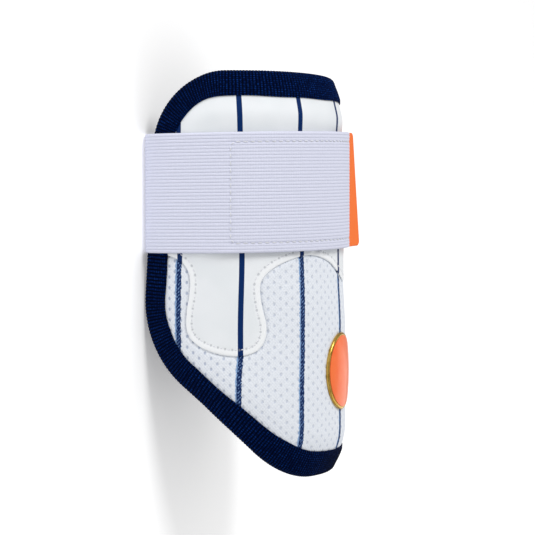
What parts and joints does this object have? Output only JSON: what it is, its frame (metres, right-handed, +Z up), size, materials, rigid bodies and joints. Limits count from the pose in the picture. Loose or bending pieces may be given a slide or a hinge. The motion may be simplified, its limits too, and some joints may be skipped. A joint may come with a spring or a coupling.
{
  "type": "elbow guard",
  "caption": "Padded U-shaped elbow guard with taped edge, pinstriped leather and air-mesh panels, wide elastic hook-and-loop strap, pull tab and plain oval enamel badge.",
  "frame": {"origin": "centre of the footprint, on the surface that the guard lies on with its opening down", "axes": "+X along the guard's length from its top edge to its lower tip, +Z up through the nose line, -Y the side that carries the free strap run"},
  "size_m": [0.2178, 0.1214, 0.0954],
  "materials": {
    "lining": "dark navy brushed knit lining laminated to moulded foam",
    "leather": "smooth white synthetic leather with navy pinstripes",
    "air_mesh": "white air mesh with staggered holes and navy pinstripes",
    "binding": "ribbed navy woven binding tape",
    "elastic": "white ribbed woven elastic",
    "hook_tape": "white hook-and-loop tape",
    "pull_tab": "orange folded tab, satin",
    "gold": "polished gold-coloured rim",
    "enamel": "glossy orange enamel"
  },
  "bodies": {
    "root": {"foam_shell": "lining", "upper_panel": "leather", "mesh_panel": "air_mesh", "edge_binding": "binding", "strap": "elastic", "hook_patch": "hook_tape", "pull_tab": "pull_tab", "badge_rim": "gold", "badge_enamel": "enamel"}
  },
  "joints": []
}
